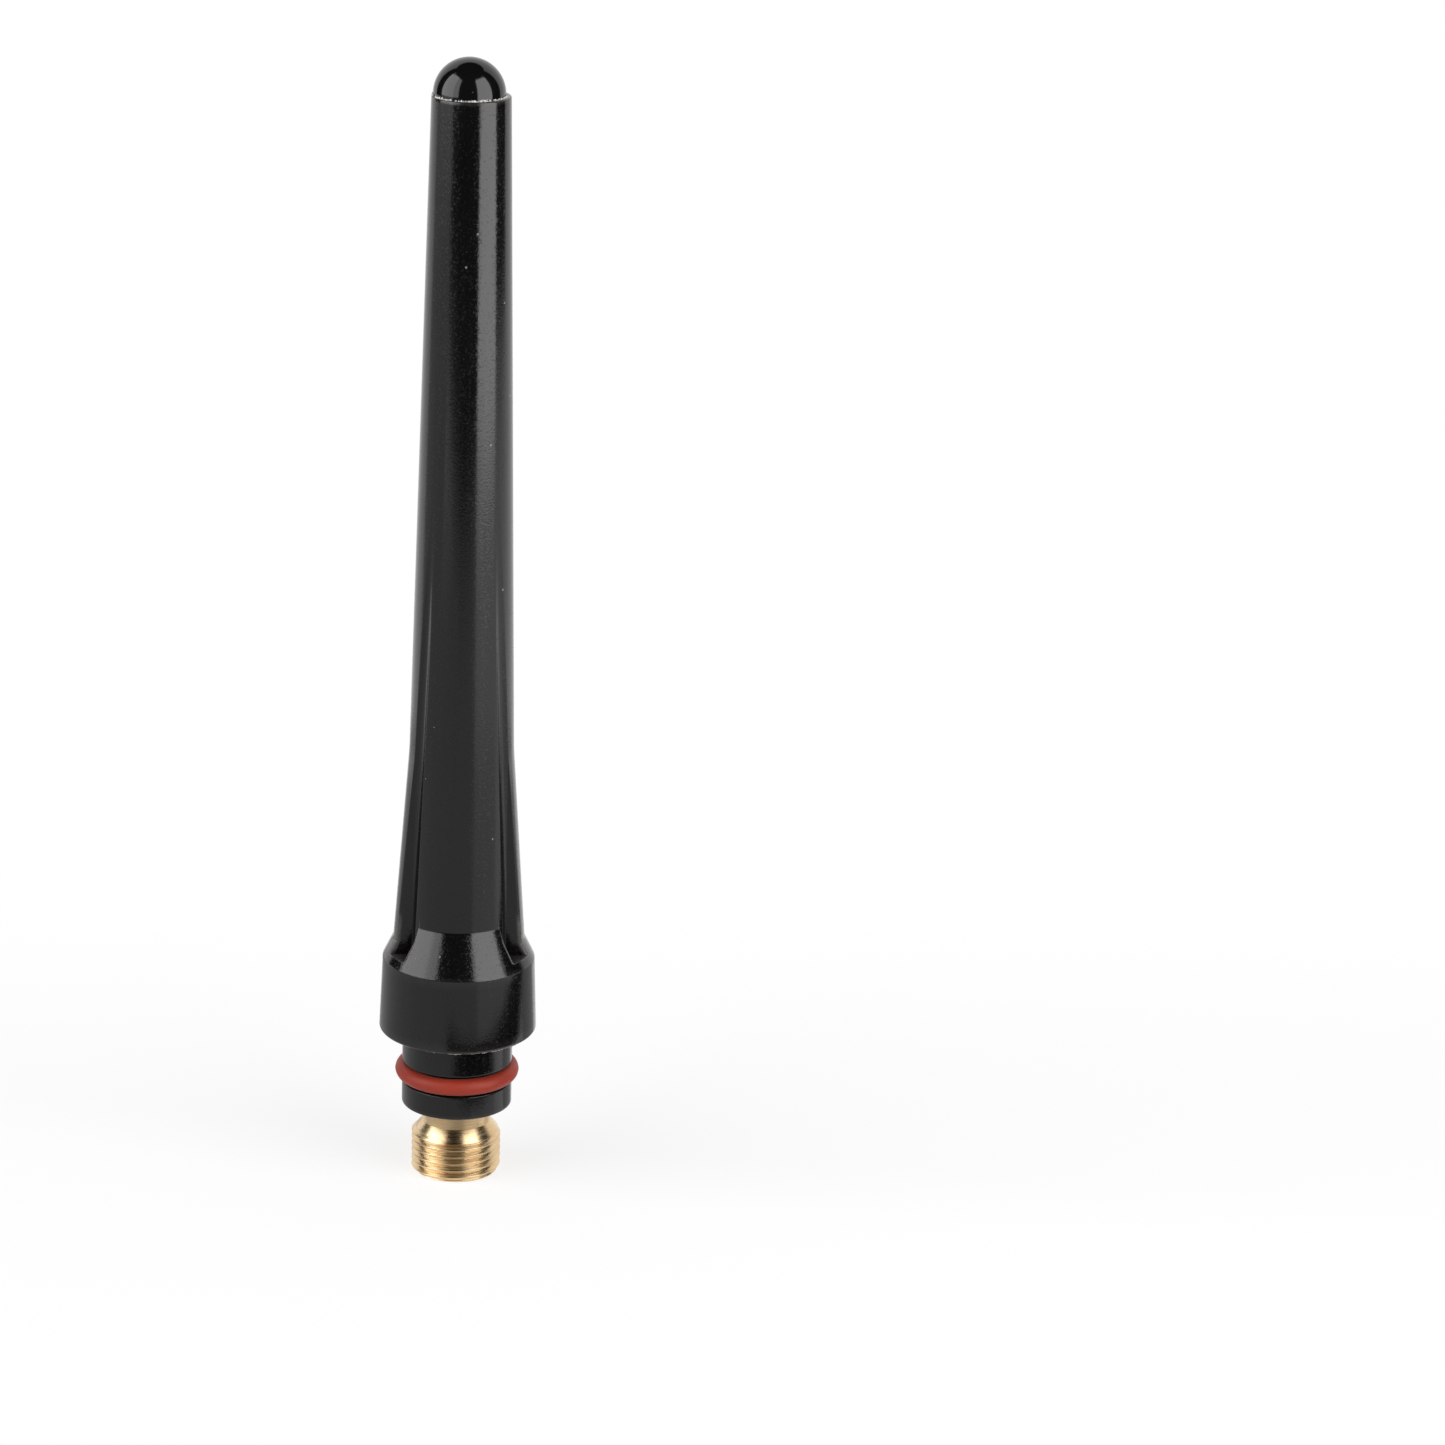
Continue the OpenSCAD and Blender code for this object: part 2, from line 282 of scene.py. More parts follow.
def glowingCardMaterial(colour):
    # glowing grey card: it gives off its own even tone as light, a painted reflection of shaded floor,
    # with a faint mottle in its glow
    material, tree = newMaterial("glowing grey card")
    where = addNode(tree, "ShaderNodeTexCoord").outputs["Object"]
    mottle = addNode(tree, "ShaderNodeTexNoise", {
        "Vector": where, "Scale": 60.0, "Detail": 3.0})  # patches of 17 mm
    strength = addNode(tree, "ShaderNodeMapRange", {
        "Value": mottle.outputs["Fac"], "From Min": 0.3, "From Max": 0.7, "To Min": 0.95, "To Max": 1.05})
    # emission: the card glows, which paints a shaded floor into the reflections
    card = addNode(tree, "ShaderNodeEmission", {
        "Color": linearColour(colour), "Strength": strength.outputs["Result"]})
    addNode(tree, "ShaderNodeOutputMaterial", {"Surface": card.outputs[0]})
    return material


def makeCard(name, s, start, end, inner, outer, colour):
    # a glowing card just above the sheet, part of a ring round the cap, seen only in reflections as
    # painted floor shade
    level = [(0.0, -radius, s["cardLift"]) for radius in (inner, outer)]
    onlyReflected(stagePiece(sweepEdge(level, start, end, s["cardSteps"]), name, glowingCardMaterial(colour)))


def makeCeiling(s, material):
    bm = bmesh.new()
    bmesh.ops.create_circle(bm, cap_ends=True, segments=64, radius=s["ceilingRadius"] * mm)
    bmesh.ops.translate(bm, vec=(0.0, 0.0, s["clothTop"] * mm), verts=bm.verts)
    onlyReflected(stagePiece(bm, "ceilingCloth", material))


def makeBar(s, material):
    # a low dark bar that lies before the foot and darkens its reflections
    start, end = Vector(s["barFrom"]), Vector(s["barTo"])
    along = end - start
    bm = bmesh.new()
    bmesh.ops.create_cone(bm, cap_ends=True, segments=32, radius1=s["barRadii"][0] * mm,
                          radius2=s["barRadii"][1] * mm, depth=along.length * mm)
    turn = along.to_track_quat("Z", "Y").to_matrix().to_4x4()
    bmesh.ops.transform(bm, verts=bm.verts, matrix=Matrix.Translation((start + end) / 2 * mm) @ turn)
    onlyReflected(stagePiece(bm, "lowBar", material))


def makeSoftbox(name, box):
    # a softbox that stands round the cap at an angle from the front, and faces it
    data = bpy.data.lights.new(name, "AREA")
    data.shape = "RECTANGLE"
    data.size = box["width"] * mm
    data.size_y = box["height"] * mm
    data.energy = box["glow"] * math.pi * data.size * data.size_y
    lamp = bpy.data.objects.new(name, data)
    angle = math.radians(box["angle"])
    place = Vector((math.sin(angle), -math.cos(angle), 0.0)) * box["distance"]
    place.z = box["bottom"] + box["height"] / 2
    lamp.location = place * mm
    lamp.rotation_euler = (math.radians(90), 0.0, angle)
    lamp.visible_camera = False
    bpy.context.scene.collection.objects.link(lamp)


def makeWorld(s):
    world = bpy.data.worlds.new("studioWorld")
    bpy.context.scene.world = world
    world.use_nodes = True
    tree = world.node_tree
    tree.nodes.clear()
    soft = addNode(tree, "ShaderNodeBackground", {"Strength": s["ambient"]})
    white = addNode(tree, "ShaderNodeBackground", {"Color": linearColour("#ffffff"), "Strength": 1.0})
    shown = addNode(tree, "ShaderNodeMixShader", {
        0: seenRay(tree), 1: soft.outputs[0], 2: white.outputs[0]})
    addNode(tree, "ShaderNodeOutputWorld", {"Surface": shown.outputs[0]})


makeSheet(studio)
for boxName, boxSettings in studio["softboxes"].items():
    makeSoftbox(boxName, boxSettings)
velvet = clothMaterial()
for clothName, clothPlace in studio["cloths"].items():
    makeCloth(clothName, studio, *clothPlace, velvet)
makeCeiling(studio, velvet)
for cardName, cardPlace in studio["cards"].items():
    makeCard(cardName, studio, *cardPlace)
makeBar(studio, velvet)
makeWorld(studio)
bpy.context.scene.view_settings.view_transform = "Standard"
print("studio ready")


# body: one black moulding, from the seal spigot up to the rim
bodyLow, bodyHigh = boxOf("cap_body")
bodyShape = {
    "rimZ": bodyHigh.z, "rimR": 4.05, "rimEdge": 0.15,
    "tubeBaseR": 5.87, "shoulderSlope": 0.49,
    "collarTopZ": 24.4, "collarTopR": 8.07, "collarTopEdge": 0.12,
    "collarZ": mounts["seat_shoulder"]["pos_m"][2] / mm, "collarR": 8.35, "collarEdge": 0.4,
    "ribBaseR": 6.95, "ribTopZ": 47.6, "ribHalf": 2.4, "ribDraft": 8.0, "ribEdge": 0.3,
    "fluteR": 1.35, "fluteFootR": 5.4, "fluteFootAngle": 61.0, "fluteTipZ": 72.0, "fluteTipAngle": 43.0,
    "notchZ": 25.3, "notchAngle": 46.5, "notchWallAngle": 68.0, "notchEdge": 0.34, "notchFillet": 0.12,
    "blend": 0.08, "ribBlend": 0.05, "fluteBlend": 0.08, "fluteEnd": 4.0,
    # rounded edges painted pale: partly rubbed wear, partly painted edge highlight
    "edgeWearAndHighlight": 0.15, "collarWearAndHighlight": 0.12, "rimWearAndHighlight": 0.3, "wearAndHighlightFade": 1.2,
    "spigotZ": bodyLow.z, "spigotR": mounts["seal_spigot"]["dims"]["r_mm"], "spigotEdge": 0.15,
    "sealZ": 11.5, "sealWidth": 2.3, "sealFloorR": 4.85, "sealLip": 0.06,
    "channelR": mounts["electrode_channel"]["dims"]["r_mm"],
    "cavityR": 4.17, "cavityZ": 8.58, "cavityTopZ": 17.02, "neckR": 3.62,
    "socketR": 2.82, "socketZ": 113.18,
    # points of a quarter section, and heights of sections that no other size gives
    "crestPoints": 8, "edgePoints": 6, "wallPoints": 5, "tubePoints": 24, "frontPoints": 36,
    "coneSteps": (24.75, 25.0), "notchSteps": (26.1, 26.3, 26.55, 26.95, 27.2, 27.5, 27.8, 28.1, 28.4),
    "ribStepsFrom": 29.3, "fluteStepsFrom": 51.0, "evenOver": 20.0,
}


def coneHeight(radius):
    # where the conical shoulder has that radius
    return bodyShape["collarTopZ"] + (bodyShape["collarTopR"] - radius) / bodyShape["shoulderSlope"]


shoulderZ = coneHeight(bodyShape["tubeBaseR"])
ribBaseZ = coneHeight(bodyShape["ribBaseR"])
tubeFall = (bodyShape["tubeBaseR"] - bodyShape["rimR"]) / (bodyShape["rimZ"] - shoulderZ)
grooveTopZ = bodyShape["fluteTipZ"] + bodyShape["fluteEnd"]  # plain tube from here up


def softMax(a, b, blend):
    # the larger of two radii, with a small hollow fillet where they cross
    gap = max(blend - abs(a - b), 0.0) / blend
    return max(a, b) + gap * gap * blend / 4


def tubeRadius(z):
    return bodyShape["tubeBaseR"] - tubeFall * (z - shoulderZ)


def coneRadius(z):
    return bodyShape["collarTopR"] - bodyShape["shoulderSlope"] * (z - bodyShape["collarTopZ"])


def frontRadius(z):
    return softMax(tubeRadius(z), coneRadius(z), bodyShape["blend"])


def ribRadius(z):
    ribTopR = tubeRadius(bodyShape["ribTopZ"])
    fall = (bodyShape["ribBaseR"] - ribTopR) / (bodyShape["ribTopZ"] - ribBaseZ)
    crest = softMax(ribTopR + fall * (bodyShape["ribTopZ"] - z), tubeRadius(z), bodyShape["ribBlend"])
    return softMax(crest, coneRadius(z), bodyShape["blend"])


def polar(radius, degrees):
    # sections are drawn for one quarter: x to the side, y to the front, angles from the front
    angle = math.radians(degrees)
    return Vector((radius * math.sin(angle), radius * math.cos(angle)))


def degreesOf(point):
    return math.degrees(math.atan2(point.x, point.y))


def flutedRadius(z, degrees):
    # the tube with its shallow flute, whose middle leans to the front as it rises
    s = bodyShape
    tube = tubeRadius(z)
    foot = polar(s["fluteFootR"] + s["fluteR"], s["fluteFootAngle"])
    tip = polar(tubeRadius(s["fluteTipZ"]) + s["fluteR"], s["fluteTipAngle"])
    centre = foot.lerp(tip, (z - shoulderZ) / (s["fluteTipZ"] - shoulderZ))
    turn = math.radians(degrees - degreesOf(centre))
    miss = centre.length * math.sin(turn)
    if abs(miss) >= s["fluteR"] or z > grooveTopZ:
        return tube
    cut = centre.length * math.cos(turn) - math.sqrt(s["fluteR"] ** 2 - miss ** 2)
    return -softMax(-tube, -cut, s["fluteBlend"])


notchFoot = polar(bodyShape["tubeBaseR"], bodyShape["notchAngle"])
notchTurn = math.radians(bodyShape["notchWallAngle"])
notchNormal = Vector((math.cos(notchTurn), -math.sin(notchTurn)))
ribFoot = Vector((bodyShape["tubeBaseR"], bodyShape["ribHalf"]))
ribTurn = math.radians(bodyShape["ribDraft"])
ribNormal = Vector((math.sin(ribTurn), math.cos(ribTurn)))


def notchFilling(z):
    # what the rounded corner round a notch's floor adds to the walls at that height
    corner = bodyShape["notchFillet"]
    left = corner - min(max(z - bodyShape["notchZ"], 0.0), corner)
    return corner - math.sqrt(corner ** 2 - left ** 2)


def wallSide(z, outer, edge, foot, normal):
    # points from the outside over a rounded edge and down a straight wall to the tube
    leastWall = 0.02  # a lower one is left out
    leastTurn = 0.14  # degrees between the points where it is left out
    count = bodyShape["edgePoints"] + bodyShape["wallPoints"]
    tube = tubeRadius(z) + notchFilling(z)
    offset = foot.dot(normal) + notchFilling(z)
    along = Vector((normal.y, -normal.x))
    along = along if along.x > 0 else -along

    def onWall(radius, inset):
        line = offset - inset
        return normal * line + along * math.sqrt(radius ** 2 - line ** 2)

    low = onWall(tube, 0.0)
    low = low.normalized() * (flutedRadius(z, degreesOf(low)) + notchFilling(z))
    if outer - tube < leastWall:
        # no wall here: the points lie close together on the tube
        way = leastTurn if degreesOf(normal) > degreesOf(low) else -leastTurn
        turns = [degreesOf(low) - way * (count - 1 - k) for k in range(count)]
        return [polar(flutedRadius(z, turn) + outer - tube, turn) for turn in turns]
    edge = min(edge, 0.45 * (outer - tube))  # the edge takes less than half of a low wall
    centre = onWall(outer - edge, edge)
    first, last = math.atan2(centre.y, centre.x), math.atan2(normal.y, normal.x)
    points = []
    for k in range(bodyShape["edgePoints"]):
        angle = first + (last - first) * k / (bodyShape["edgePoints"] - 1)
        points.append(centre + Vector((math.cos(angle), math.sin(angle))) * edge)
    top = points[-1]
    points += [top.lerp(low, k / bodyShape["wallPoints"]) for k in range(1, bodyShape["wallPoints"] + 1)]
    return points


def quarterSection(z):
    # from the middle of a side rib, over the notch or the flute, to the middle of the front
    s = bodyShape
    front, rib = frontRadius(z), ribRadius(z)
    ribSide = wallSide(z, rib, s["ribEdge"], ribFoot, ribNormal)
    frontSide = wallSide(z, front, s["notchEdge"], notchFoot, notchNormal)
    points = []
    start = degreesOf(ribSide[0])
    for k in range(s["crestPoints"]):
        points.append(polar(rib, 90 - (90 - start) * (k + 0.5) / s["crestPoints"]))
    points += ribSide
    start, end = degreesOf(ribSide[-1]), degreesOf(frontSide[-1])
    for k in range(s["tubePoints"]):
        turn = start + (end - start) * (k + 1) / (s["tubePoints"] + 1)
        points.append(polar(flutedRadius(z, turn) + notchFilling(z), turn))
    points += frontSide[::-1]
    start = degreesOf(frontSide[0])
    for k in range(s["frontPoints"]):
        turn = start * (1 - (k + 0.5) / s["frontPoints"])
        drop = tubeRadius(z) - flutedRadius(z, turn) if z > shoulderZ else 0.0
        points.append(polar(front - drop, turn))
    return points


def fullSection(quarter):
    # the quarter and its three mirror images, all the way round
    right = [Vector((p.x, -p.y)) for p in quarter]
    left = [Vector((-p.x, p.y)) for p in right[::-1]]
    half = right + left
    return half + [-p for p in half]


def spreadTurns(quarter, even):
    # a quarter's angles, with those of the notch evenly spread, or all of them where even is 1
    s = bodyShape
    turns = [degreesOf(p) for p in quarter]
    first, last = s["crestPoints"], len(turns) - s["frontPoints"] - 1
    sweep = turns[last] - turns[first]
    for k in range(first, last + 1):
        turns[k] = turns[first] + sweep * (k - first) / (last - first)
    level = [90 * (1 - (k + 0.5) / len(turns)) for k in range(len(turns))]
    return [turn + (flat - turn) * even for turn, flat in zip(turns, level)]


def edgeShare():
    # how much each point of a section lies on a rounded edge
    s = bodyShape
    side = [1.0] * s["edgePoints"] + [0.0] * s["wallPoints"]
    quarter = [0.0] * s["crestPoints"] + side + [0.0] * s["tubePoints"]
    quarter += side[::-1] + [0.0] * s["frontPoints"]
    return (quarter + quarter[::-1]) * 2


def notchShare():
    # 1 for the points of a round section that lie below a notch
    s = bodyShape
    between = 2 * (s["edgePoints"] + s["wallPoints"]) + s["tubePoints"]
    quarter = [0.0] * s["crestPoints"] + [1.0] * between + [0.0] * s["frontPoints"]
    return (quarter + quarter[::-1]) * 2


def arcSteps(r, z, radius, start, end, count):
    # a rounded edge of the outline, as (radius, height) pairs
    found = []
    for k in range(count + 1):
        angle = math.radians(start + (end - start) * k / count)
        found.append((r + radius * math.cos(angle), z + radius * math.sin(angle)))
    return found


def spaced(start, end, count):
    return [start + (end - start) * k / count for k in range(count + 1)]


def raiseRing(bm, ring, points, z, wearAndHighlight, layer):
    # extrude the last ring and set its points in place
    loop = set(ring)
    chosen = {e for v in ring for e in v.link_edges if e.verts[0] in loop and e.verts[1] in loop}
    grown = bmesh.ops.extrude_edge_only(bm, edges=[e for e in chosen if len(e.link_faces) < 2])
    fresh = {v for v in grown["geom"] if isinstance(v, bmesh.types.BMVert)}
    after = [next(e.other_vert(v) for e in v.link_edges if e.other_vert(v) in fresh) for v in ring]
    for vert, point, mark in zip(after, points, wearAndHighlight):
        vert.co = Vector((point.x, point.y, z)) * mm
        vert[layer] = mark
    return after


def lowerRings():
    # (radius, height, pale edge paint: wear and painted edge highlight) from the spigot's foot up to the
    # lower end of the grooves
    s = bodyShape
    edge = s["spigotEdge"]
    rings = [(s["neckR"], s["spigotZ"], 0.0), (s["spigotR"] - edge - 0.1, s["spigotZ"], 0.0)]

    def add(pairs, wearAndHighlight=0.0):
        rings.extend((radius, z, wearAndHighlight) for radius, z in pairs)

    low, high, lip = s["sealZ"] - s["sealWidth"] / 2, s["sealZ"] + s["sealWidth"] / 2, s["sealLip"]
    add(arcSteps(s["spigotR"] - edge, s["spigotZ"] + edge, edge, -90, 0, 4), s["edgeWearAndHighlight"])
    add([(s["spigotR"], s["spigotZ"] + 0.5), (s["spigotR"], low - lip - 0.1)])
    add(arcSteps(s["spigotR"] - lip, low - lip, lip, 0, 90, 3), s["edgeWearAndHighlight"])
    add([(s["sealFloorR"], low), (s["sealFloorR"], high)])
    add(arcSteps(s["spigotR"] - lip, high + lip, lip, -90, 0, 3), s["edgeWearAndHighlight"])
    add([(s["spigotR"], high + lip + 0.15), (s["spigotR"], s["collarZ"] - 0.2),
         (s["spigotR"] + 0.02, s["collarZ"] - 0.04), (s["spigotR"] + 0.08, s["collarZ"])])
    # collar
    edge = s["collarEdge"]
    add([(s["collarR"] - edge - 0.3, s["collarZ"])])
    add(arcSteps(s["collarR"] - edge, s["collarZ"] + edge, edge, -90, 0, 8), s["edgeWearAndHighlight"])
    lean = (s["collarR"] - s["collarTopR"]) / (s["collarTopZ"] - s["collarZ"] - edge)
    wallTop = s["collarTopZ"] - s["collarTopEdge"]
    for z in spaced(s["collarZ"] + edge, wallTop, 8)[1:-1]:
        add([(s["collarTopR"] + lean * (s["collarTopZ"] - z), z)])
    # its top edge, rounded off between the wall and the shoulder
    for z in spaced(wallTop, wallTop + 2 * s["collarTopEdge"], 6):
        wall = s["collarTopR"] + lean * (s["collarTopZ"] - z)
        inner, outer = sorted((wall, coneRadius(z)))
        gap = max(s["collarTopEdge"] * 0.5 - (outer - inner), 0.0)
        add([(inner - gap * gap / (2 * s["collarTopEdge"]), z)], s["collarWearAndHighlight"])
    add([(coneRadius(z), z) for z in (*s["coneSteps"], s["notchZ"] - 0.12, s["notchZ"])])
    return rings


def gripHeights():
    # section heights from the notches' floor to above the flutes' tips, closer at each corner
    s = bodyShape
    corner = [math.radians(angle) for angle in (8, 16, 25, 35, 45, 56, 67, 78, 90)]
    near = [s["notchZ"] + s["notchFillet"] * (1 - math.cos(angle)) for angle in corner]
    near += s["notchSteps"]
    near += [ribBaseZ - 0.05, ribBaseZ, ribBaseZ + 0.05]
    near += [shoulderZ + k * 0.04 for k in range(-8, 6)]
    near += spaced(s["ribStepsFrom"], s["ribTopZ"] - 1.0, 24)
    near += spaced(s["ribTopZ"] - 0.5, s["ribTopZ"] + 2.5, 6)
    near += spaced(s["fluteStepsFrom"], grooveTopZ, 30)
    return [s["notchZ"] + 0.0002] + sorted(near)


def makeBody(material):
    s = bodyShape
    onEdge = edgeShare()
    count = len(onEdge)

    def circle(radius, turns):
        return fullSection([polar(radius, turn) for turn in turns])

    lowTurns = spreadTurns(quarterSection(s["notchZ"]), 0.0)
    rings = [(circle(radius, lowTurns), z, [wearAndHighlight] * count) for radius, z, wearAndHighlight in lowerRings()]
    rings[-1] = (rings[-1][0], rings[-1][1], notchShare())
    for z in gripHeights():
        fade = min(max((shoulderZ + s["wearAndHighlightFade"] - z) / s["wearAndHighlightFade"], 0.0), 1.0)
        rings.append((fullSection(quarterSection(z)), z, [w * fade for w in onEdge]))
    # plain tube above the flutes: the points spread out evenly again
    lastTurns = [degreesOf(p) for p in quarterSection(grooveTopZ)]
    topTurns = spreadTurns(quarterSection(grooveTopZ), 1.0)
    for z in spaced(grooveTopZ, s["rimZ"] - s["rimEdge"] - 0.3, 22)[1:]:
        share = min((z - grooveTopZ) / s["evenOver"], 1.0)
        turns = [turn + (flat - turn) * share for turn, flat in zip(lastTurns, topTurns)]
        rings.append((circle(tubeRadius(z), turns), z, [0.0] * count))
    rim = arcSteps(s["rimR"] - s["rimEdge"], s["rimZ"] - s["rimEdge"], s["rimEdge"], 0, 90, 5)
    rings += [(circle(radius, topTurns), z, [s["rimWearAndHighlight"]] * count) for radius, z in rim]
    # inside: plug socket, channel and the hollow round the insert
    inside = [(s["socketR"], s["rimZ"]), (s["socketR"], s["socketZ"]), (s["channelR"], s["socketZ"]),
              (s["channelR"], s["cavityTopZ"]), (s["cavityR"], s["cavityTopZ"]),
              (s["cavityR"], s["cavityZ"]), (s["neckR"], s["cavityZ"])]
    rings += [(circle(radius, topTurns), z, [0.0] * count) for radius, z in inside]

    bm = bmesh.new()
    # share of pale paint at each point on rounded edges: wear and painted edge highlight
    layer = bm.verts.layers.float.new("wearAndHighlight")
    bmesh.ops.create_circle(bm, segments=count, radius=mm)
    ring = list(bm.verts)
    points, z, wearAndHighlight = rings[0]
    for vert, point in zip(ring, points):
        vert.co = Vector((point.x, point.y, z)) * mm
    for points, z, wearAndHighlight in rings[1:]:
        ring = raiseRing(bm, ring, points, z, wearAndHighlight, layer)
    ends = [e for e in bm.edges if len(e.link_faces) == 1]
    bmesh.ops.bridge_loops(bm, edges=ends)
    shadeAndPlace(bm, "mouldedBody", "cap_body", material, 35)


def mouldedBlack():
    # glass-filled nylon, injection moulded: deep black and quite glossy, with a very fine grain,
    # thin draw lines along the tube, a little dust, and rounded edges painted pale: partly rubbed wear,
    # partly painted edge highlight
    material, tree = newMaterial("glass-filled nylon, moulded black")
    where = addNode(tree, "ShaderNodeTexCoord").outputs["Object"]
    grain = addNode(tree, "ShaderNodeTexNoise", {
        "Vector": where, "Scale": 4200.0, "Detail": 3.0, "Roughness": 0.6})  # grain of about 0.2 mm
    drawn = addNode(tree, "ShaderNodeMapping", {"Vector": where, "Scale": (1.0, 1.0, 0.04)})
    streaks = addNode(tree, "ShaderNodeTexNoise", {
        "Vector": drawn.outputs[0], "Scale": 1900.0, "Detail": 2.0})  # draw lines, 0.5 mm apart
    cloud = addNode(tree, "ShaderNodeTexNoise", {
        "Vector": where, "Scale": 90.0, "Detail": 2.0})  # flow of the melt, 11 mm
    specks = addNode(tree, "ShaderNodeTexVoronoi", {
        "Vector": where, "Scale": 360.0, "Randomness": 1.0})  # dust of 0.2 mm, about 3 mm apart
    dust = addNode(tree, "ShaderNodeMath", {
        0: specks.outputs["Distance"], 1: 0.042}, operation="LESS_THAN")
    # pale paint on rounded edges, broken up by the grain: partly rubbed wear, partly painted edge
    # highlight
    wearAndHighlight = addNode(tree, "ShaderNodeAttribute", attribute_name="wearAndHighlight")
    paleEdges = addNode(tree, "ShaderNodeMath", {
        0: wearAndHighlight.outputs["Fac"], 1: grain.outputs["Fac"]}, operation="MULTIPLY")
    base = addNode(tree, "ShaderNodeValToRGB", {"Fac": cloud.outputs["Fac"]})
    setRamp(base, [(0.3, linearColour("#0c0c0d")), (0.7, linearColour("#100f0f"))])
    # the pale colour of the painted edge highlight and the rubbed wear
    edge = addNode(tree, "ShaderNodeMix", {
        "Factor": paleEdges.outputs[0], "A": base.outputs["Color"],
        "B": linearColour("#625e5a")}, data_type="RGBA")
    dusty = addNode(tree, "ShaderNodeMix", {
        "Factor": dust.outputs[0], "A": edge.outputs["Result"],
        "B": linearColour("#7d7a76")}, data_type="RGBA")
    polish = addNode(tree, "ShaderNodeMapRange", {
        "Value": streaks.outputs["Fac"], "From Min": 0.3, "From Max": 0.7, "To Min": 0.1, "To Max": 0.16})
    pits = addNode(tree, "ShaderNodeMapRange", {
        "Value": grain.outputs["Fac"], "From Min": 0.52, "From Max": 0.74, "To Min": 0.0, "To Max": 0.26})
    gloss = addNode(tree, "ShaderNodeMath", {
        0: polish.outputs["Result"], 1: pits.outputs["Result"]}, operation="ADD")
    bump = addNode(tree, "ShaderNodeBump", {
        "Height": grain.outputs["Fac"], "Strength": 0.42, "Distance": 0.00002})
    plastic = addNode(tree, "ShaderNodeBsdfPrincipled", {
        "Base Color": dusty.outputs["Result"], "Roughness": gloss.outputs[0], "IOR": 1.53,
        "Normal": bump.outputs["Normal"]})
    addNode(tree, "ShaderNodeOutputMaterial", {"Surface": plastic.outputs[0]})
    return material


makeBody(mouldedBlack())


# end plug: the glossy rounded end, set a little to one side on the rim
plugLow, plugHigh = boxOf("end_plug")
plugShape = {
    "domeR": 3.7, "domeRise": 0.15, "domeShift": 0.2, "topZ": plugHigh.z,
    "rimZ": bodyShape["rimZ"] + 0.01, "edge": 0.05,
    "plugR": 2.78, "bottomZ": plugLow.z + 0.02, "bevel": 0.2, "steps": 96,
}


def spinProfile(bm, pairs, steps):
    # a turned shape from (radius, height) pairs in mm
    verts = [bm.verts.new(Vector((radius, 0.0, z)) * mm) for radius, z in pairs]
    edges = [bm.edges.new((a, b)) for a, b in zip(verts, verts[1:])]
    bmesh.ops.spin(bm, geom=verts + edges, cent=(0, 0, 0), axis=(0, 0, 1), dvec=(0, 0, 0),
                   angle=math.tau, steps=steps, use_merge=True)


def glossyBlack():
    # polished mould: a glossy black with a faint ripple and a little dust
    material, tree = newMaterial("moulded nylon, glossy black")
    where = addNode(tree, "ShaderNodeTexCoord").outputs["Object"]
    ripple = addNode(tree, "ShaderNodeTexNoise", {
        "Vector": where, "Scale": 420.0, "Detail": 1.0})  # waves of 2.4 mm
    specks = addNode(tree, "ShaderNodeTexVoronoi", {
        "Vector": where, "Scale": 620.0})  # dust of 0.15 mm, 1.6 mm apart
    dust = addNode(tree, "ShaderNodeMath", {
        0: specks.outputs["Distance"], 1: 0.05}, operation="LESS_THAN")
    tone = addNode(tree, "ShaderNodeMix", {
        "Factor": dust.outputs[0], "A": linearColour("#0f0f10"),
        "B": linearColour("#5a5855")}, data_type="RGBA")
    gloss = addNode(tree, "ShaderNodeMapRange", {
        "Value": ripple.outputs["Fac"], "From Min": 0.3, "From Max": 0.7, "To Min": 0.06, "To Max": 0.12})
    bump = addNode(tree, "ShaderNodeBump", {
        "Height": ripple.outputs["Fac"], "Strength": 0.1, "Distance": 0.00004})
    plastic = addNode(tree, "ShaderNodeBsdfPrincipled", {
        "Base Color": tone.outputs["Result"], "Roughness": gloss.outputs["Result"], "IOR": 1.5,
        "Normal": bump.outputs["Normal"]})
    addNode(tree, "ShaderNodeOutputMaterial", {"Surface": plastic.outputs[0]})
    return material


def makeEndPlug(s, material):
    bm = bmesh.new()
    pairs = [(0.0, s["bottomZ"]), (s["plugR"] - s["bevel"], s["bottomZ"]),
             (s["plugR"], s["bottomZ"] + s["bevel"]), (s["plugR"], s["rimZ"])]
    pairs += [(s["domeR"] - s["edge"], s["rimZ"])]
    pairs += arcSteps(s["domeR"] - s["edge"], s["rimZ"] + s["edge"], s["edge"], -60, 0, 2)
    domeZ = bodyShape["rimZ"] + s["domeRise"]
    pairs += [(s["domeR"] * math.cos(angle), domeZ + (s["topZ"] - domeZ) * math.sin(angle))
              for angle in spaced(0.0, math.pi / 2, 24)[:-1]]
    pairs += [(0.0, s["topZ"])]
    spinProfile(bm, pairs, s["steps"])
    bmesh.ops.remove_doubles(bm, verts=bm.verts, dist=mergeGap)
    # only the dome shifts: what is above the rim, or wider than the plug on it
    rim, plug, slack = s["rimZ"] * mm, s["plugR"] * mm, 0.001 * mm
    outside = [v for v in bm.verts if v.co.z > rim - slack]
    dome = [v for v in outside if v.co.z > rim + slack or v.co.xy.length > plug + slack]
    bmesh.ops.translate(bm, vec=(-s["domeShift"] * mm, 0.0, 0.0), verts=dome)
    shadeAndPlace(bm, "roundedEnd", "end_plug", material, 40)


makeEndPlug(plugShape, glossyBlack())


